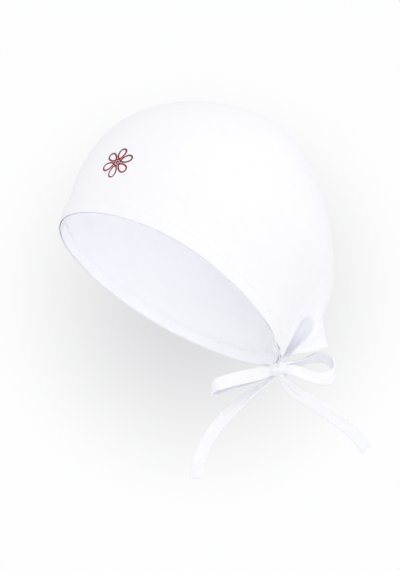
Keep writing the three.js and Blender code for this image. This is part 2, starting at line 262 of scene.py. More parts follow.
# Studio, in metres
FLOOR_HEIGHT = -1.5
FLOOR_REACH = 6.0
CAP_MIDDLE = (0.0, 0.0, 0.0)
CROWN_TOP_INSIDE = (-0.08, 0.02, 0.11)
WARM_WHITE = (1.0, 1.0, 0.94)
SOFT_WHITE = (1.0, 1.0, 0.96)
COOL_WHITE = (0.96, 0.96, 1.0)

# Lamps: name, place, width, power, colour and the point that each one faces
LAMPS = [
    ("key_light", (0.8, 1.4, 0.6), 1.0, 4.65, WARM_WHITE, CAP_MIDDLE),
    ("front_light", (0.9, -0.9, 0.6), 1.2, 1.6, WARM_WHITE, CAP_MIDDLE),
    ("fill_light", (1.5, -0.5, -0.30), 1.0, 4.0, WARM_WHITE, CAP_MIDDLE),
    ("low_light", (0.7, 0.2, -1.1), 1.2, 0.7, SOFT_WHITE, CAP_MIDDLE),
    ("inner_light", (0.055, -0.006, 0.045), 0.045, 0.041, COOL_WHITE, CROWN_TOP_INSIDE),
]

# Middle of the backdrop's greyer patch, a painted shadow of the cap, in the photograph's pixels, and how far
# the patch fades out
BACKDROP_SHADOW_PIXEL = (200.0, 290.0)
BACKDROP_SHADOW_FADE = 0.15

# Share of the backdrop's brightness that also lights the cap, and its tint
AMBIENT = 0.866
AMBIENT_TINT = (0.965, 0.965, 1.0)

# Rosette
EMBLEM_SHARE = 0.18
EMBLEM_LIFT = math.radians(15.0)
EMBLEM_RADIUS = 13.5
EMBLEM_PETALS = 6
PETAL_START = 3.4
PETAL_HALF_WIDTH = 3.7
PETAL_LINE = 1.6
PETAL_POINTS = 64
RING_POINTS = 48
SATIN_PITCH = 0.42
SATIN_STEP = 0.14

# Section of a satin line: place across its half width, and height above the cloth
SATIN_SECTION = [
    (-1.0, -0.3),
    (-0.86, 0.22),
    (-0.45, 0.42),
    (0.0, 0.5),
    (0.45, 0.42),
    (0.86, 0.22),
    (1.0, -0.3),
]

# Rings at the rosette's middle: radius and width of the line
EMBLEM_RINGS = [(2.7, 1.3), (1.0, 1.4)]

# Cotton's finish: thread pitch in millimetres, its share and strength in the bump, and the size of each noise
WEAVE_PITCH = 0.42
WEAVE_SHARE = 0.28
WEAVE_STRENGTH = 0.15
FIBRE_SCALE = 1400.0
SLUB_SCALE = 140.0
CREASE_SCALE = 32.0

# Mesh fineness
FRONT_COLUMNS = 190
NAPE_COLUMNS_FINE = 110
HEM_ROWS = 16
CROWN_ROWS = 110
EDGE_ROWS = 5
STRAP_FINENESS = 14
STRAP_FACE_POINTS = 11
STRAP_EDGE_STEPS = 6
KNOT_RINGS = 72
KNOT_POINTS = 96

# Places of the sockets of a colour mix
MIX_FIRST = 6
MIX_SECOND = 7
MIX_RESULT = 2


def smooth(value):
    """Soft step from 0 to 1"""
    value = np.clip(value, 0.0, 1.0)
    return value * value * (3.0 - 2.0 * value)


def from_opening(along, aside, up):
    """From the opening's sloping plane to the part's own axes"""
    cos = math.cos(OPENING_SLOPE)
    sin = math.sin(OPENING_SLOPE)
    return np.stack([aside, along * cos + up * sin, up * cos - along * sin], axis=-1)


def opening_half_width(angle):
    """Half width of the head opening, pinched in towards the nape"""
    from_pinch = (np.degrees(angle) - PINCH_ANGLE) / PINCH_WIDTH
    shape = np.sin(angle) + OPENING_FRONT_FULLNESS * np.sin(2 * angle)
    shape = shape - OPENING_SIDE_FLATNESS * np.sin(3 * angle)
    to_end = smooth((180.0 - np.degrees(angle)) / PINCH_FADE)
    return OPENING_HALF_WIDTH * shape - PINCH_DEPTH * np.exp(-(from_pinch ** 2)) * to_end


def read_table(rows, names, key, values, column):
    """Smooth curve through one column of a table"""
    keys = np.array([row[names.index(key)] for row in rows], float)
    points = np.array([row[names.index(column)] for row in rows], float)
    last = len(keys) - 1
    before = np.clip(np.arange(last + 1) - 1, 0, last)
    after = np.clip(np.arange(last + 1) + 1, 0, last)
    slopes = (points[after] - points[before]) / (keys[after] - keys[before])
    row = np.clip(np.searchsorted(keys, values, side="left") - 1, 0, last - 1)
    span = keys[row + 1] - keys[row]
    t = (values - keys[row]) / span
    ease = t * t * (3 - 2 * t)
    curve = t * (1 - t) ** 2 * slopes[row] - t * t * (1 - t) * slopes[row + 1]
    return points[row] * (1 - ease) + points[row + 1] * ease + span * curve


def edge_point(share):
    """Lower edge of the cloth: the rim, then the nape behind the knot"""
    angle = math.pi * np.minimum(share, KNOT_SHARE) / KNOT_SHARE
    near_knot = ((1 - np.cos(angle)) / 2) ** 6
    along = -OPENING_LENGTH / 2 * np.cos(angle)
    aside = opening_half_width(angle) + NAPE_HALF_GAP * near_knot
    up = OPENING_ARCH * np.sin(angle) ** 2
    behind = share > KNOT_SHARE
    nape = np.maximum(share, KNOT_SHARE)
    along = np.where(behind, read_table(NAPE_EDGE, NAPE_COLUMNS, "share", nape, "along"), along)
    aside = np.where(behind, read_table(NAPE_EDGE, NAPE_COLUMNS, "share", nape, "aside"), aside)
    up = np.where(behind, read_table(NAPE_EDGE, NAPE_COLUMNS, "share", nape, "up"), up)
    return along, aside, up


def column_angle(share):
    """Angle round the crown that the cloth over one place of the edge runs to"""
    rest = (share - KNOT_SHARE) / (1 - KNOT_SHARE)
    behind = KNOT_COLUMN_ANGLE + (math.pi - KNOT_COLUMN_ANGLE) * rest
    part = share / KNOT_SHARE
    front = part * (math.pi + (KNOT_COLUMN_ANGLE - math.pi) * part * part)
    return np.where(share > KNOT_SHARE, behind, front)


def egg_point(angle, lift):
    """The crown's full round shape, before its edge is drawn in"""
    height = np.degrees(lift)
    front = read_table(CROWN_SECTIONS, CROWN_COLUMNS, "lift", height, "front")
    back = read_table(CROWN_SECTIONS, CROWN_COLUMNS, "lift", height, "back")
    side = read_table(CROWN_SECTIONS, CROWN_COLUMNS, "lift", height, "aside")
    reach = np.where(np.cos(angle) > 0, front, back)
    rim_shape = opening_half_width(angle) - OPENING_HALF_WIDTH * np.sin(angle)
    cos = np.maximum(np.cos(lift), 0.0)
    along = -reach * np.cos(angle) * cos
    aside = side * np.sin(angle) * cos ** SIDE_FULLNESS + rim_shape * cos ** 4
    return along, aside, CROWN_HEIGHT * np.sin(lift)


def pleat_depth(share, lift):
    """Share of the pleat's full depth, from 0 to 1"""
    opening = PLEAT_START + (1 - PLEAT_START) * smooth(lift / PLEAT_FULL)
    from_middle = (2 * share - PLEAT_LIP - PLEAT_EDGE) / (PLEAT_EDGE - PLEAT_LIP)
    top = PLEAT_CLOSING - PLEAT_ROUNDING * from_middle ** 2
    closing = 1 - smooth((lift - top) / (PLEAT_HIGH - PLEAT_CLOSING))
    inward = np.sin(math.pi / 2 * np.clip((share - PLEAT_LIP) / (PLEAT_FLOOR - PLEAT_LIP), 0.0, 1.0))
    outward = np.clip((PLEAT_EDGE - share) / (PLEAT_EDGE - PLEAT_FLOOR), 0.0, 1.0) ** 0.35
    return opening * closing * inward * outward


def soft_fold_depth(share, lift):
    """Depth of the soft folds in millimetres"""
    depth = np.zeros_like(share)
    for place, width, deep, low, high in SOFT_FOLDS:
        across = np.exp(-(((share - place) / width) ** 2))
        t = np.clip((np.degrees(lift) - low) / (high - low), 0.0, 1.0)
        depth = depth + deep * across * np.sin(math.pi * t) ** 1.5
    return depth


def crown_point(turn, lift):
    """Place on the cloth: turn runs once round the rim from 0 to 2, lift up to the top"""
    turn, lift = np.broadcast_arrays(np.asarray(turn, float), np.asarray(lift, float))
    turn = np.mod(turn, 2.0)
    left = turn <= 1.0
    share = np.where(left, turn, 2.0 - turn)
    edge_along, edge_aside, edge_up = edge_point(share)
    angle = column_angle(share)
    foot_along, foot_aside, foot_up = egg_point(angle, np.zeros_like(lift))
    egg_along, egg_aside, egg_up = egg_point(angle, lift)
    pull = 1 - smooth(lift / PULL_TOP)
    flare = np.clip(1 - lift / TAIL_TOP, 0.0, 1.0) ** 1.2
    pleat = pleat_depth(share, lift)
    along = egg_along + (edge_along - foot_along) * flare - PLEAT_UNDERCUT * pleat
    depth = np.where(left, PLEAT_DEPTH, PLEAT_DEPTH_RIGHT)
    aside = egg_aside + (edge_aside - foot_aside) * pull - depth * pleat
    aside = aside - soft_fold_depth(share, lift)
    behind_knot = np.clip((share - KNOT_SHARE) / (1 - KNOT_SHARE), 0.0, 1.0)
    rise = np.where(left, 0.0, RIGHT_EDGE_RISE * np.sin(math.pi * behind_knot) ** 1.3)
    up = egg_up + (edge_up - foot_up + rise) * flare
    return from_opening(along, np.where(left, aside, -aside), up)


def unit(vectors):
    return vectors / np.maximum(np.linalg.norm(vectors, axis=-1, keepdims=True), 1e-9)


def crown_frame(turn, lift):
    """Outward normal and upward direction of the cloth"""
    step = 1e-3
    low = np.maximum(lift - step, 0.0)
    high = np.minimum(lift + step, math.pi / 2)
    around = crown_point(turn + step, lift) - crown_point(turn - step, lift)
    rise = crown_point(turn, high) - crown_point(turn, low)
    return unit(np.cross(around, rise)), unit(rise)


def add_mesh(name, points, faces, uvs=None):
    mesh = bpy.data.meshes.new(name)
    mesh.from_pydata((np.asarray(points, float).reshape(-1, 3) * MM).tolist(), [], faces)
    mesh.validate()
    if uvs is not None:
        layer = mesh.uv_layers.new(name="cloth")
        corners = np.empty(len(mesh.loops), np.int32)
        mesh.loops.foreach_get("vertex_index", corners)
        layer.data.foreach_set("uv", np.asarray(uvs, float).reshape(-1, 2)[corners].ravel())
    mesh.polygons.foreach_set("use_smooth", np.ones(len(mesh.polygons), bool))
    mesh.update()
    obj = bpy.data.objects.new(name, mesh)
    bpy.context.scene.collection.objects.link(obj)
    return obj


def ring_faces(rings, count, closed_ends=False, wrap=False):
    """Quads between rings of count points, as one flat list of faces"""
    faces = []
    last = rings if wrap else rings - 1
    for ring in range(last):
        start = ring * count
        following = ((ring + 1) % rings) * count
        for i in range(count):
            j = (i + 1) % count
            faces.append((start + i, start + j, following + j, following + i))
    if closed_ends:
        faces.append(tuple(reversed(range(count))))
        faces.append(tuple(range((rings - 1) * count, rings * count)))
    return faces


def shape_noise(points, size, seed):
    """Smooth noise in -1 to 1 for each point, with lumps of about size millimetres"""
    flat = points.reshape(-1, 3) / size
    offset = Vector((seed * 17.3, seed * 5.1, seed * 9.7))
    values = [noise.noise(Vector(point) + offset) for point in flat]
    return np.array(values).reshape(points.shape[:-1])


def crown_turns():
    """Turns of the mesh's columns, closer together towards the knot and behind it"""
    part = np.arange(FRONT_COLUMNS) / FRONT_COLUMNS
    front = KNOT_SHARE * part * (1.18 - 0.18 * part)
    nape = KNOT_SHARE + (1 - KNOT_SHARE) * np.arange(NAPE_COLUMNS_FINE + 1) / NAPE_COLUMNS_FINE
    half = np.concatenate([front, nape])
    return np.concatenate([half, 2.0 - half[1:-1][::-1]])


def lift_at(turns, distances):
    """Lift angles where the cloth is so many millimetres above the rim"""
    lifts = np.radians(np.linspace(0.0, 12.0, 161))
    grid = crown_point(turns[None, :], lifts[:, None])
    steps = np.linalg.norm(np.diff(grid, axis=0), axis=-1)
    above = np.vstack([np.zeros(len(turns)), np.cumsum(steps, axis=0)])
    columns = [np.interp(distances, above[:, i], lifts) for i in range(len(turns))]
    return np.array(columns).T


def cloth_relief(turn, points, above):
    """How far the cloth stands out from its smooth shape, in millimetres"""
    share = np.where(turn <= 1.0, turn, 2.0 - turn)
    round_length = share * HALF_ROUND_LENGTH
    near_knot = smooth((share - 0.35) / 0.4)
    hem = 1.0 - smooth((above - HEM_HEIGHT + 1.2) / 2.0)
    stitch = np.exp(-(((above - HEM_HEIGHT + STITCH_INSET) / 0.7) ** 2))
    puckers = np.sin(round_length * 2 * math.pi / PUCKER_LENGTH + 2.2 * shape_noise(points, 30.0, 3))
    pucker_reach = np.exp(-(((above - HEM_HEIGHT + 1.5) / PUCKER_REACH) ** 2))
    ripple = PUCKER_DEPTH * puckers * pucker_reach * (0.5 + 0.5 * shape_noise(points, 45.0, 5))
    crumple = CRUMPLE_DEPTH * shape_noise(points, CRUMPLE_SIZE, 1)
    crumple = crumple + FINE_CRUMPLE_DEPTH * shape_noise(points, FINE_CRUMPLE_SIZE, 2)
    crumple = crumple * smooth(above / 25.0)
    broad = BROAD_DEPTH * shape_noise(points, BROAD_SIZE, 7) * smooth(above / 60.0)
    from_knot = points - KNOT_CENTRE
    distance = np.linalg.norm(from_knot, axis=-1)
    heading = np.arctan2(from_knot[..., 2], from_knot[..., 1])
    rays = np.sin(heading * PULL_RAYS + 1.5 * shape_noise(points, 60.0, 11))
    pulled = PULL_DEPTH * rays * np.exp(-(((distance - PULL_DISTANCE) / PULL_SPREAD) ** 2)) * near_knot
    dents = np.zeros_like(distance)
    for middle, reach, deep in SOFT_DENTS:
        away = (points - np.array(middle, float)) / np.array(reach, float)
        dents = dents + deep * np.exp(-(away ** 2).sum(axis=-1))
    seams = RIM_THICKENING * hem - STITCH_GROOVE * stitch
    return seams + ripple + crumple + broad + pulled - dents


turns = crown_turns()
hem_distances = np.linspace(0.0, 16.0, HEM_ROWS)
hem_lifts = lift_at(turns, hem_distances)
upper = np.linspace(0.0, 1.0, CROWN_ROWS + 1)[1:-1] ** 1.08
upper_lifts = hem_lifts[-1][None, :] + (math.pi / 2 - hem_lifts[-1][None, :]) * upper[:, None]
lifts = np.vstack([hem_lifts, upper_lifts])
turn_grid = np.broadcast_to(turns[None, :], lifts.shape)
smooth_points = crown_point(turn_grid, lifts)
normals, rises = crown_frame(turn_grid, lifts)
above_rim = np.vstack([
    np.zeros(len(turns)),
    np.cumsum(np.linalg.norm(np.diff(smooth_points, axis=0), axis=-1), axis=0),
])
relief = cloth_relief(turn_grid, smooth_points, above_rim)
outside = smooth_points + normals * relief[..., None]
inside = outside - normals * CLOTH_THICKNESS


def build_crown():
    """The one cloth shell: inner face, rounded edge and outer face, closed at the top"""
    columns = len(turns)
    middle = (outside[0] + inside[0]) / 2
    half = CLOTH_THICKNESS / 2
    edge = []
    for step in range(1, EDGE_ROWS + 1):
        angle = math.pi * step / (EDGE_ROWS + 1)
        edge.append(middle - normals[0] * half * math.cos(angle) - rises[0] * half * math.sin(angle))
    rows = list(inside[::-1]) + edge + list(outside)
    points = np.array(rows)
    around = np.concatenate([[0.0], np.cumsum(np.linalg.norm(np.diff(smooth_points[40], axis=0), axis=-1))])
    heights = list(above_rim[::-1]) + [np.full(columns, 0.0)] * EDGE_ROWS + list(above_rim)
    uvs = np.stack([np.broadcast_to(around, points.shape[:2]), np.array(heights)], axis=-1)
    faces = ring_faces(len(rows), columns)
    top = crown_point(0.0, math.pi / 2)
    top_normal = from_opening(0.0, 0.0, 1.0)
    crest = outside[-1].mean(axis=0)
    crest_height = (crest - top) @ top_normal
    apex = top + top_normal * (crest_height + 0.05)
    inner_apex = apex - top_normal * CLOTH_THICKNESS
    flat = list(points.reshape(-1, 3)) + [inner_apex, apex]
    count = len(rows) * columns
    for i in range(columns):
        j = (i + 1) % columns
        faces.append((j, i, count))
        last = (len(rows) - 1) * columns
        faces.append((last + i, last + j, count + 1))
    flat_uvs = np.vstack([uvs.reshape(-1, 2), [[0.0, 0.0], [0.0, 0.0]]]) * MM
    return add_mesh("crown_cloth", np.array(flat), faces, flat_uvs)


def hem_turns():
    """Turns that the hem covers, from one side of the knot round the forehead to the other"""
    left = turns[turns <= HEM_LAST_SHARE][::-1]
    right = turns[turns >= 2.0 - HEM_LAST_SHARE][::-1]
    return np.concatenate([left, right])


def build_hem():
    """The cloth turned up inside the rim and stitched down"""
    where = hem_turns()
    section = []
    for step in range(7):
        angle = math.pi * step / 6
        section.append((0.2 - HEM_FOLD_LOW * math.sin(angle), 0.5 * math.cos(angle)))
    for height in np.linspace(1.0, HEM_HEIGHT - 0.6, 7):
        section.append((height, -0.5))
    for step in range(5):
        angle = math.pi * step / 4
        section.append((HEM_HEIGHT - 0.4 + 0.45 * math.sin(angle), -0.5 * math.cos(angle)))
    for height in np.linspace(HEM_HEIGHT - 0.6, 1.0, 5):
        section.append((height, 0.5))
    heights = np.array([max(entry[0], 0.0) for entry in section])
    lifts_here = lift_at(where, heights)
    grid = np.broadcast_to(where[None, :], lifts_here.shape)
    base = crown_point(grid, lifts_here)
    normal, rise = crown_frame(grid, lifts_here)
    depth = np.array([HEM_INNER + (HEM_OUTER - HEM_INNER) * (0.5 - entry[1]) for entry in section])
    drop = np.array([min(entry[0], 0.0) for entry in section])
    stitch = np.exp(-(((heights - HEM_HEIGHT + STITCH_INSET) / 0.6) ** 2)) * (depth > 1.3)
    length = np.concatenate([[0.0], np.cumsum(np.linalg.norm(np.diff(base[0], axis=0), axis=-1))])
    wave = HEM_WAVE * np.sin(length * 2 * math.pi / HEM_WAVE_LENGTH)
    wave = wave[None, :] * (heights / HEM_HEIGHT)[:, None]
    inward = depth[:, None] - 0.25 * stitch[:, None] + wave
    points = base - normal * inward[..., None] + rise * drop[:, None, None]
    points = np.swapaxes(points, 0, 1)
    uv_height = np.array([entry[0] for entry in section])
    uvs = np.stack(np.broadcast_arrays(length[:, None], uv_height[None, :]), axis=-1)
    faces = ring_faces(points.shape[0], points.shape[1], closed_ends=True)
    return add_mesh("rim_hem_cloth", points, faces, uvs.reshape(-1, 2) * MM)


def thread_points(start, end, outward):
    """Closed skin of one stitch: a thread that dips into the cloth at both ends"""
    along = unit(end - start)
    across = unit(np.cross(along, outward))
    rings = []
    for part in THREAD_PARTS:
        centre = start + (end - start) * part
        bulge = math.sin(math.pi * min(max(part, 0.06), 0.94))
        centre = centre + outward * THREAD_HEIGHT * (bulge - 0.35)
        size = 0.45 + 0.55 * bulge
        for k in range(THREAD_SIDES):
            angle = 2 * math.pi * k / THREAD_SIDES
            sideways = across * THREAD_WIDTH / 2 * math.cos(angle)
            rings.append(centre + size * (sideways + outward * THREAD_HEIGHT / 2 * math.sin(angle)))
    return rings


def build_stitches(name, where, depth, outward_sign, follow):
    """A row of stitches at a steady height above the rim"""
    height = HEM_HEIGHT - STITCH_INSET
    lifts_here = lift_at(where, np.array([height]))[0]
    line = crown_point(where, lifts_here)
    normal, _ = crown_frame(where, lifts_here)
    ground = cloth_relief(np.mod(where, 2.0)[None, :], line[None, :], np.full((1, len(where)), height))[0]
    line = line + normal * (ground * follow - depth)[:, None]
    steps = np.concatenate([[0.0], np.cumsum(np.linalg.norm(np.diff(line, axis=0), axis=-1))])
    points = []
    faces = []
    thread_faces = ring_faces(len(THREAD_PARTS), THREAD_SIDES, closed_ends=True)
    place = STITCH_GAP
    while place + STITCH_LENGTH < steps[-1]:
        start = np.array([np.interp(place, steps, line[:, k]) for k in range(3)])
        end = np.array([np.interp(place + STITCH_LENGTH, steps, line[:, k]) for k in range(3)])
        out = unit(np.array([np.interp(place + STITCH_LENGTH / 2, steps, normal[:, k]) for k in range(3)]))
        first = len(points)
        points.extend(thread_points(start, end, out * outward_sign))
        for face in thread_faces:
            faces.append(tuple(first + index for index in face))
        place += STITCH_LENGTH + STITCH_GAP
    return add_mesh(name, np.array(points), faces)


def bow_axes():
    """Back, up and out in the plane that the bow spreads in"""
    outward = np.array([
        math.cos(BOW_DIP) * math.cos(BOW_TURN), math.cos(BOW_DIP) * math.sin(BOW_TURN), math.sin(BOW_DIP),
    ])
    backward = np.array([-math.sin(BOW_TURN), math.cos(BOW_TURN), 0.0])
    return backward, np.cross(outward, backward), outward


def spline(points, fineness):
    """Centripetal curve through the points, with the row place of each sample"""
    points = np.asarray(points, float)
    first = 2 * points[0] - points[1]
    last = 2 * points[-1] - points[-2]
    padded = np.vstack([first, points, last])
    samples = []
    places = []
    for i in range(len(points) - 1):
        p0, p1, p2, p3 = padded[i:i + 4]
        d0 = np.linalg.norm(p1 - p0) ** 0.5
        d1 = np.linalg.norm(p2 - p1) ** 0.5
        d2 = np.linalg.norm(p3 - p2) ** 0.5
        t1 = (p1 - p0) / d0 - (p2 - p0) / (d0 + d1) + (p2 - p1) / d1
        t2 = (p2 - p1) / d1 - (p3 - p1) / (d1 + d2) + (p3 - p2) / d2
        t1 = t1 * d1
        t2 = t2 * d1
        for t in np.arange(fineness) / fineness:
            h = t * t * (3 - 2 * t)
            curve = t * (1 - t) ** 2 * t1 - t * t * (1 - t) * t2
            samples.append(p1 * (1 - h) + p2 * h + curve)
            places.append(i + t)
    samples.append(points[-1])
    places.append(len(points) - 1.0)
    return np.array(samples), np.array(places)


def strap_section():
    """Round-edged flat section: across the width, then through the thickness"""
    section = []
    half = TIE_WIDTH / 2
    face = TIE_THICKNESS / 2
    for across in np.linspace(half - TIE_EDGE, -half + TIE_EDGE, STRAP_FACE_POINTS):
        section.append((across, face))
    for step in range(1, STRAP_EDGE_STEPS):
        angle = math.pi / 2 + math.pi * step / STRAP_EDGE_STEPS
        section.append((-half + TIE_EDGE + TIE_EDGE * math.cos(angle), face * math.sin(angle)))
    for across in np.linspace(-half + TIE_EDGE, half - TIE_EDGE, STRAP_FACE_POINTS):
        section.append((across, -face))
    for step in range(1, STRAP_EDGE_STEPS):
        angle = -math.pi / 2 + math.pi * step / STRAP_EDGE_STEPS
        section.append((half - TIE_EDGE + TIE_EDGE * math.cos(angle), face * math.sin(angle)))
    return np.array(section)


def build_strap(name, rows, free_end, seed, creases):
    """A flat tie along its rows, drawn in where it meets the knot"""
    backward, upward, outward = bow_axes()
    rows = np.array(rows, float)
    route = KNOT_CENTRE + rows[:, :1] * backward + rows[:, 1:2] * upward + rows[:, 2:3] * outward
    centres, places = spline(route, STRAP_FINENESS)
    forward = unit(np.gradient(centres, axis=0))
    lean = np.radians(np.interp(places, np.arange(len(rows)), rows[:, 3]))
    tilt = np.radians(np.interp(places, np.arange(len(rows)), rows[:, 4]))
    across = (np.sin(lean) * np.cos(tilt))[:, None] * backward
    across = across + (np.cos(lean) * np.cos(tilt))[:, None] * upward + np.sin(tilt)[:, None] * outward
    across = unit(across - (across * forward).sum(axis=-1, keepdims=True) * forward)
    through = np.cross(forward, across)
    length = np.concatenate([[0.0], np.cumsum(np.linalg.norm(np.diff(centres, axis=0), axis=-1))])
    near_knot = np.exp(-((length / TIE_NEAR_KNOT) ** 2))
    if not free_end:
        from_end = length[-1] - length
        near_knot = near_knot + np.exp(-((from_end / TIE_NEAR_KNOT) ** 2))
    near_knot = np.clip(near_knot, 0.0, 1.0)
    narrow = 1.0 - TIE_NARROWING * near_knot
    section = strap_section()
    rings = []
    uvs = []
    for i in range(len(centres)):
        ring = []
        for side, face in section:
            part = side / (TIE_WIDTH / 2)
            crease = TIE_CREASE * near_knot[i] * math.cos(part * 7.5 + seed)
            from_seam = (abs(side) - TIE_WIDTH / 2 + TIE_SEAM_INSET) / TIE_SEAM_WIDTH
            seam = -TIE_SEAM_DEPTH * math.exp(-(from_seam ** 2))
            soft = TIE_LUMP * noise.noise(Vector((length[i] / TIE_LUMP_LENGTH, part * 1.3, seed * 7.7)))
            curl = TIE_CURL * part * part * math.sin(length[i] / TIE_CURL_LENGTH + seed)
            pressed = 0.0
            for begin, finish, middle, deep in creases:
                reach = smooth((length[i] - begin) / CREASE_SOFT_ENDS)
                reach = reach * (1.0 - smooth((length[i] - finish) / CREASE_SOFT_ENDS))
                pressed = pressed + deep * reach * math.exp(-(((part - middle) / CREASE_WIDTH) ** 2))
            on_face = abs(face) > TIE_EDGE
            swell = face * (1.0 + TIE_SWELLING * near_knot[i]) + math.copysign(seam, face) * on_face
            lifted = swell + crease + soft + curl - pressed
            ring.append(centres[i] + across[i] * side * narrow[i] + through[i] * lifted)
            uvs.append((length[i], side + (40.0 if face < 0 else 0.0)))
        rings.append(ring)
    points = np.array(rings)
    faces = ring_faces(len(rings), len(section), closed_ends=True)
    return add_mesh(name, points, faces, np.array(uvs) * MM)


def build_knot():
    """Cloth wound round itself: a barrel with creases that run along the wrap"""
    backward, upward, outward = bow_axes()
    rings = []
    uvs = []
    for i in range(KNOT_RINGS + 1):
        v = -1.0 + 2.0 * i / KNOT_RINGS
        ring = []
        for j in range(KNOT_POINTS):
            u = 2 * math.pi * j / KNOT_POINTS
            barrel = max(1.0 - abs(v) ** 3.6, 0.0) ** 0.5
            slant = v + KNOT_SLANT * math.sin(u - 0.5)
            layer = KNOT_LAYER / (1.0 + math.exp(-(slant - 0.10) * 22.0))
            crease = KNOT_CREASE * math.sin(6.0 * slant + 0.8)
            crease = crease + KNOT_FINE_CREASE * math.sin(15.0 * slant + 1.6 * math.sin(u))
            lump = KNOT_LUMP * noise.noise(Vector((math.cos(u) * 1.1, math.sin(u) * 1.1, v * 1.3)))
            radius = KNOT_RADIUS * barrel + (layer + crease + lump) * min(1.0, barrel * 1.3)
            squared = 1.0 + 0.10 * math.cos(4.0 * u)
            middle = KNOT_CENTRE + backward * v * KNOT_HALF_LENGTH
            height = upward * radius * squared * math.cos(u)
            ring.append(middle + height + outward * radius * squared * math.sin(u) * KNOT_FLATNESS)
            uvs.append((u * KNOT_RADIUS, v * KNOT_HALF_LENGTH))
        rings.append(ring)
    faces = ring_faces(len(rings), KNOT_POINTS, closed_ends=True)
    return add_mesh("tie_knot_cloth", np.array(rings), faces, np.array(uvs) * MM)


def emblem_place(points, height):
    """From flat rosette millimetres to the cloth, at a height above it"""
    step = 1e-3
    centre = crown_point(EMBLEM_SHARE, EMBLEM_LIFT)
    per_share = (crown_point(EMBLEM_SHARE + step, EMBLEM_LIFT) - centre) / step
    per_lift = (crown_point(EMBLEM_SHARE, EMBLEM_LIFT + step) - centre) / step
    sideways = unit(per_share)
    lean = per_lift @ sideways
    rise = np.linalg.norm(per_lift - sideways * lean)
    lifted = points[..., 1] / rise
    turned = (points[..., 0] - lifted * lean) / np.linalg.norm(per_share)
    turn = EMBLEM_SHARE + turned
    lift = EMBLEM_LIFT + lifted
    base = crown_point(turn, lift)
    normal, _ = crown_frame(turn, lift)
    above = np.full(turn.shape, 60.0)
    ground = cloth_relief(turn[None, :], base[None, :], above[None, :])[0]
    return base + normal * (ground + height)[..., None]


def satin_line(path, width, points, faces):
    """A closed band of satin stitch along a flat path, its threads lying across it"""
    path = np.asarray(path, float)
    steps = np.linalg.norm(np.roll(path, -1, axis=0) - path, axis=-1)
    length = np.concatenate([[0.0], np.cumsum(steps)])
    closed = np.vstack([path, path[:1]])
    count = max(int(length[-1] / SATIN_STEP), 24)
    where = np.linspace(0.0, length[-1], count, endpoint=False)
    line = np.stack([np.interp(where, length, closed[:, k]) for k in range(2)], axis=-1)
    ahead = unit(np.roll(line, -2, axis=0) - np.roll(line, 2, axis=0))
    side = np.stack([-ahead[:, 1], ahead[:, 0]], axis=-1)
    strands = np.abs(np.sin(math.pi * where / SATIN_PITCH))
    first = len(points)
    rings = []
    for across, height in SATIN_SECTION:
        ragged = across * width / 2 * (1.0 + 0.06 * np.sin(where * 9.0 + across * 3.0))
        lifted = np.full(count, height) * (0.8 + 0.2 * strands)
        rings.append(emblem_place(line + side * ragged[:, None], lifted))
    grid = np.swapaxes(np.array(rings), 0, 1)
    points.extend(grid.reshape(-1, 3))
    for face in ring_faces(count, len(SATIN_SECTION), wrap=True):
        faces.append(tuple(first + index for index in face))


def build_emblem():
    """A rosette of petals drawn in satin line, with rings at its middle"""
    points = []
    faces = []
    for petal in range(EMBLEM_PETALS):
        middle = 2 * math.pi * (petal + 0.5) / EMBLEM_PETALS
        path = []
        for i in range(PETAL_POINTS):
            t = 2 * math.pi * i / PETAL_POINTS
            outer = 0.5 - 0.5 * math.cos(t)
            reach = PETAL_START + (EMBLEM_RADIUS - 4.0) * outer
            spread = PETAL_HALF_WIDTH * math.sin(t) * (0.62 + 0.38 * outer)
            path.append((reach * math.cos(middle) - spread * math.sin(middle),
                         reach * math.sin(middle) + spread * math.cos(middle)))
        satin_line(path, PETAL_LINE, points, faces)
    for radius, width in EMBLEM_RINGS:
        angles = np.linspace(0, 2 * math.pi, RING_POINTS, False)
        ring = [(radius * math.cos(angle), radius * math.sin(angle)) for angle in angles]
        satin_line(ring, width, points, faces)
    return add_mesh("rosette_stitching", np.array(points), faces)


# Materials

def new_material(name):
    material = bpy.data.materials.new(name)
    material.use_nodes = True
    nodes = material.node_tree.nodes
    return material, nodes, material.node_tree.links, nodes["Principled BSDF"]


def add_node(nodes, kind, **settings):
    node = nodes.new(kind)
    for key, value in settings.items():
        setattr(node, key, value)
    return node


def math_node(nodes, links, operation, first, second=None):
    node = add_node(nodes, "ShaderNodeMath", operation=operation)
    for index, source in enumerate((first, second)):
        if source is None:
            continue
        if isinstance(source, (int, float)):
            node.inputs[index].default_value = source
        else:
            links.new(source, node.inputs[index])
    return node.outputs[0]


def noise_texture(nodes, links, place, scale, detail, roughness=0.5, distortion=0.0):
    texture = add_node(nodes, "ShaderNodeTexNoise")
    texture.inputs["Scale"].default_value = scale
    texture.inputs["Detail"].default_value = detail
    texture.inputs["Roughness"].default_value = roughness
    texture.inputs["Distortion"].default_value = distortion
    links.new(place.outputs["Object"], texture.inputs["Vector"])
    return texture


def colour_mix(nodes, first, second):
    mix = add_node(nodes, "ShaderNodeMix", data_type="RGBA")
    mix.inputs[MIX_FIRST].default_value = (*first, 1.0)
    mix.inputs[MIX_SECOND].default_value = (*second, 1.0)
    return mix


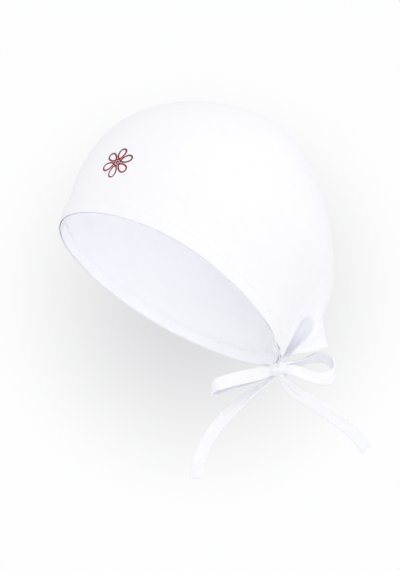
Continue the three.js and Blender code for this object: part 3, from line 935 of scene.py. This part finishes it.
def cotton(name, light, shade, painted_crease_shade, painted_shade_reach):
    """White cotton: a plain weave at its real scale, loose fibres, soft creases, and painted shade that
    darkens the colour in creases and hollows
    """
    material, nodes, links, shader = new_material(name)
    place = add_node(nodes, "ShaderNodeTexCoord")
    bands = []
    for axis in ("X", "Y", "Z"):
        wave = add_node(nodes, "ShaderNodeTexWave", wave_type="BANDS", wave_profile="SIN")
        wave.bands_direction = axis
        wave.inputs["Scale"].default_value = 0.314 / (WEAVE_PITCH * MM)
        wave.inputs["Distortion"].default_value = 0.6
        wave.inputs["Detail"].default_value = 1.0
        wave.inputs["Detail Scale"].default_value = 0.5
        links.new(place.outputs["Object"], wave.inputs["Vector"])
        bands.append(wave.outputs["Fac"])
    weave = math_node(nodes, links, "ADD", math_node(nodes, links, "ADD", bands[0], bands[1]), bands[2])
    fibres = noise_texture(nodes, links, place, FIBRE_SCALE, 3.0)
    slubs = noise_texture(nodes, links, place, SLUB_SCALE, 4.0, roughness=0.6)
    creases = noise_texture(nodes, links, place, CREASE_SCALE, 3.0, roughness=0.55, distortion=0.7)
    tone = colour_mix(nodes, shade, light)
    spread = add_node(nodes, "ShaderNodeMapRange")
    spread.inputs["From Min"].default_value = 0.32
    spread.inputs["From Max"].default_value = 0.62
    links.new(slubs.outputs["Fac"], spread.inputs["Value"])
    links.new(spread.outputs["Result"], tone.inputs["Factor"])
    # Painted shade: an occlusion node darkens the colour towards a bluish shade colour in creases, corners,
    # hollows and under nearby pieces, where shade falls
    painted_shade_occlusion = add_node(nodes, "ShaderNodeAmbientOcclusion", samples=6)
    painted_shade_occlusion.inputs["Distance"].default_value = painted_shade_reach
    depth = add_node(nodes, "ShaderNodeMapRange")
    depth.inputs["From Min"].default_value = 0.25
    depth.inputs["From Max"].default_value = 0.9
    depth.inputs["To Min"].default_value = 1.0
    depth.inputs["To Max"].default_value = 0.0
    links.new(painted_shade_occlusion.outputs["AO"], depth.inputs["Value"])
    painted_shade_mix = colour_mix(nodes, light, painted_crease_shade)
    links.new(tone.outputs[MIX_RESULT], painted_shade_mix.inputs[MIX_FIRST])
    links.new(depth.outputs["Result"], painted_shade_mix.inputs["Factor"])
    links.new(painted_shade_mix.outputs[MIX_RESULT], shader.inputs["Base Color"])
    rough = add_node(nodes, "ShaderNodeMapRange")
    rough.inputs["To Min"].default_value = 0.82
    rough.inputs["To Max"].default_value = 0.95
    links.new(fibres.outputs["Fac"], rough.inputs["Value"])
    links.new(rough.outputs["Result"], shader.inputs["Roughness"])
    faint_weave = math_node(nodes, links, "MULTIPLY", weave, WEAVE_SHARE)
    fine = math_node(nodes, links, "ADD", faint_weave, fibres.outputs["Fac"])
    weave_bump = add_node(nodes, "ShaderNodeBump")
    weave_bump.inputs["Strength"].default_value = WEAVE_STRENGTH
    weave_bump.inputs["Distance"].default_value = 0.00012
    links.new(fine, weave_bump.inputs["Height"])
    crease_bump = add_node(nodes, "ShaderNodeBump")
    crease_bump.inputs["Strength"].default_value = 0.12
    crease_bump.inputs["Distance"].default_value = 0.0012
    links.new(creases.outputs["Fac"], crease_bump.inputs["Height"])
    links.new(weave_bump.outputs["Normal"], crease_bump.inputs["Normal"])
    links.new(crease_bump.outputs["Normal"], shader.inputs["Normal"])
    shader.inputs["Specular IOR Level"].default_value = 0.18
    shader.inputs["Sheen Weight"].default_value = 0.12
    shader.inputs["Sheen Roughness"].default_value = 0.5
    return material


def thread(name, colour, dark, scale):
    """Embroidery thread: a soft sheen along fine twisted strands"""
    material, nodes, links, shader = new_material(name)
    place = add_node(nodes, "ShaderNodeTexCoord")
    strands = noise_texture(nodes, links, place, scale, 3.0)
    tone = colour_mix(nodes, dark, colour)
    links.new(strands.outputs["Fac"], tone.inputs["Factor"])
    links.new(tone.outputs[MIX_RESULT], shader.inputs["Base Color"])
    bump = add_node(nodes, "ShaderNodeBump")
    bump.inputs["Strength"].default_value = 0.4
    bump.inputs["Distance"].default_value = 0.0002
    links.new(strands.outputs["Fac"], bump.inputs["Height"])
    links.new(bump.outputs["Normal"], shader.inputs["Normal"])
    shader.inputs["Roughness"].default_value = 0.5
    shader.inputs["Specular IOR Level"].default_value = 0.35
    shader.inputs["Sheen Weight"].default_value = 0.2
    return material


# In each cotton the third colour is painted shade for creases and hollows, and the last number is how far off
# a nearby surface still darkens it
crown_cotton = cotton(
    "crown_cotton",
    light=(0.925, 0.925, 0.94),
    shade=(0.915, 0.915, 0.932),
    painted_crease_shade=(0.835, 0.835, 0.905),
    painted_shade_reach=0.024,
)
tie_cotton = cotton(
    "tie_cotton",
    light=(0.925, 0.925, 0.942),
    shade=(0.905, 0.905, 0.928),
    painted_crease_shade=(0.87, 0.87, 0.925),
    painted_shade_reach=0.010,
)
# Painted shade: the knot is the ties' cotton made darker and bluer, for a knot that sits back in shade
# between the loops
shaded_knot_cotton = cotton(
    "shaded_knot_cotton",
    light=(0.905, 0.905, 0.932),
    shade=(0.895, 0.895, 0.922),
    painted_crease_shade=(0.89, 0.89, 0.93),
    painted_shade_reach=0.008,
)
white_thread = thread("white_thread", (0.93, 0.93, 0.95), (0.82, 0.82, 0.87), 2500.0)
red_thread = thread("red_thread", (0.34, 0.012, 0.016), (0.13, 0.004, 0.006), 1800.0)


def dress(piece, material, slot, *replaced):
    """Gives a piece its material and its body, and hides the imported nodes that it replaces"""
    piece.data.materials.append(material)
    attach(piece, "root")
    if replaced:
        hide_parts(*replaced)


dress(build_crown(), crown_cotton, "white_cotton", "crown")
dress(build_hem(), crown_cotton, "white_cotton", "rim_hem")
right_turns = turns[turns >= 2 - STITCH_LAST_SHARE]
left_turns = turns[turns <= STITCH_LAST_SHARE] + 2.0
outer_line = np.concatenate([right_turns, left_turns])
outer_stitches = build_stitches("hem_stitches_outside", outer_line, 0.05, 1.0, 1.0)
dress(outer_stitches, white_thread, "white_cotton")
inner_line = hem_turns()[4:-4][::-1]
inner_stitches = build_stitches("hem_stitches_inside", inner_line, HEM_OUTER - 0.2, -1.0, 0.0)
dress(inner_stitches, white_thread, "white_cotton")
dress(build_knot(), shaded_knot_cotton, "white_cotton_tie", "tie_knot")
front_loop = build_strap("bow_loop_front_cloth", FRONT_LOOP, False, 1.0, NO_CREASES)
dress(front_loop, tie_cotton, "white_cotton_tie", "bow_loop_front")
back_loop = build_strap("bow_loop_back_cloth", BACK_LOOP, False, 2.0, BACK_LOOP_CREASES)
dress(back_loop, tie_cotton, "white_cotton_tie", "bow_loop_back")
front_tail = build_strap("tie_tail_front_cloth", FRONT_TAIL, True, 3.0, NO_CREASES)
dress(front_tail, tie_cotton, "white_cotton_tie", "tie_tail_front")
back_tail = build_strap("tie_tail_back_cloth", BACK_TAIL, True, 4.0, BACK_TAIL_CREASES)
dress(back_tail, tie_cotton, "white_cotton_tie", "tie_tail_back")
dress(build_emblem(), red_thread, "red_thread", "emblem")


# Camera, floor, backdrop and light

def camera_axes():
    """Towards the camera, and its right and up"""
    toward = np.array([
        math.cos(CAMERA_DIP) * math.cos(CAMERA_YAW), math.cos(CAMERA_DIP) * math.sin(CAMERA_YAW),
        math.sin(CAMERA_DIP),
    ])
    right = np.array([-math.sin(CAMERA_YAW), math.cos(CAMERA_YAW), 0.0])
    return toward, right, np.cross(toward, right)


def add_camera():
    toward, right, up = camera_axes()
    target = right * CAMERA_ASIDE + up * CAMERA_UP
    eye = (target + toward * CAMERA_DISTANCE) * MM
    data = bpy.data.cameras.new("camera")
    data.sensor_fit = "HORIZONTAL"
    data.sensor_width = SENSOR_WIDTH
    data.lens = FOCAL_PIXELS / FRAME_PIXELS * SENSOR_WIDTH
    data.clip_start = 0.01
    data.clip_end = 50.0
    camera = bpy.data.objects.new("camera", data)
    bpy.context.scene.collection.objects.link(camera)
    camera.location = Vector(eye)
    camera.rotation_euler = Vector(target * MM - eye).to_track_quat("-Z", "Y").to_euler()
    bpy.context.scene.camera = camera


def add_area(name, place, size, power, colour, aim):
    data = bpy.data.lights.new(name, "AREA")
    data.shape = "DISK"
    data.size = size
    data.energy = power
    data.color = colour
    light = bpy.data.objects.new(name, data)
    bpy.context.scene.collection.objects.link(light)
    light.location = place
    light.rotation_euler = (Vector(aim) - Vector(place)).to_track_quat("-Z", "Y").to_euler()
    light.visible_camera = False


def add_floor():
    material, nodes, links, shader = new_material("floor_paint")
    place = add_node(nodes, "ShaderNodeTexCoord")
    grain = noise_texture(nodes, links, place, 6.0, 2.0)
    tone = colour_mix(nodes, (0.92, 0.92, 0.93), (0.94, 0.94, 0.95))
    links.new(grain.outputs["Fac"], tone.inputs["Factor"])
    links.new(tone.outputs[MIX_RESULT], shader.inputs["Base Color"])
    shader.inputs["Roughness"].default_value = 0.9
    mesh = bpy.data.meshes.new("floor")
    sides = ((-1, -1), (1, -1), (1, 1), (-1, 1))
    corners = [(x * FLOOR_REACH, y * FLOOR_REACH, FLOOR_HEIGHT) for x, y in sides]
    mesh.from_pydata(corners, [], [(0, 1, 2, 3)])
    floor = bpy.data.objects.new("floor", mesh)
    bpy.context.scene.collection.objects.link(floor)
    mesh.materials.append(material)


def pixel_direction(x, y):
    """Direction in which the camera sees a pixel of the photograph"""
    toward, right, up = camera_axes()
    aside = right * (x - FRAME_MIDDLE[0]) / FOCAL_PIXELS
    direction = -toward + aside + up * (FRAME_MIDDLE[1] - y) / FOCAL_PIXELS
    return direction / np.linalg.norm(direction)


def add_world():
    """Pale studio backdrop, a little greyer behind and below the cap, where a shadow of the cap is painted"""
    world = bpy.data.worlds.new("studio")
    world.use_nodes = True
    nodes = world.node_tree.nodes
    links = world.node_tree.links
    background = nodes["Background"]
    place = add_node(nodes, "ShaderNodeTexCoord")
    centre = pixel_direction(*BACKDROP_SHADOW_PIXEL)
    offset = add_node(nodes, "ShaderNodeVectorMath", operation="DISTANCE")
    offset.inputs[1].default_value = tuple(centre)
    links.new(place.outputs["Generated"], offset.inputs[0])
    fade = add_node(nodes, "ShaderNodeMapRange", interpolation_type="SMOOTHSTEP")
    fade.inputs["From Min"].default_value = 0.0
    fade.inputs["From Max"].default_value = BACKDROP_SHADOW_FADE
    links.new(offset.outputs["Value"], fade.inputs["Value"])
    # Painted shadow: the backdrop turns greyer towards the patch's middle
    tone = colour_mix(nodes, (0.69, 0.69, 0.705), (0.99, 0.99, 0.995))
    links.new(fade.outputs["Result"], tone.inputs["Factor"])
    seen = add_node(nodes, "ShaderNodeLightPath")
    tinted = colour_mix(nodes, AMBIENT_TINT, (1.0, 1.0, 1.0))
    links.new(seen.outputs["Is Camera Ray"], tinted.inputs["Factor"])
    backdrop = add_node(nodes, "ShaderNodeMix", data_type="RGBA", blend_type="MULTIPLY")
    backdrop.inputs["Factor"].default_value = 1.0
    links.new(tone.outputs[MIX_RESULT], backdrop.inputs[MIX_FIRST])
    links.new(tinted.outputs[MIX_RESULT], backdrop.inputs[MIX_SECOND])
    links.new(backdrop.outputs[MIX_RESULT], background.inputs["Color"])
    strength = add_node(nodes, "ShaderNodeMapRange")
    strength.inputs["To Min"].default_value = AMBIENT
    strength.inputs["To Max"].default_value = 1.0
    links.new(seen.outputs["Is Camera Ray"], strength.inputs["Value"])
    links.new(strength.outputs["Result"], background.inputs["Strength"])
    bpy.context.scene.world = world


add_camera()
add_floor()
add_world()
for lamp in LAMPS:
    add_area(*lamp)

scene = bpy.context.scene
scene.view_settings.view_transform = "Standard"
scene.view_settings.look = "None"
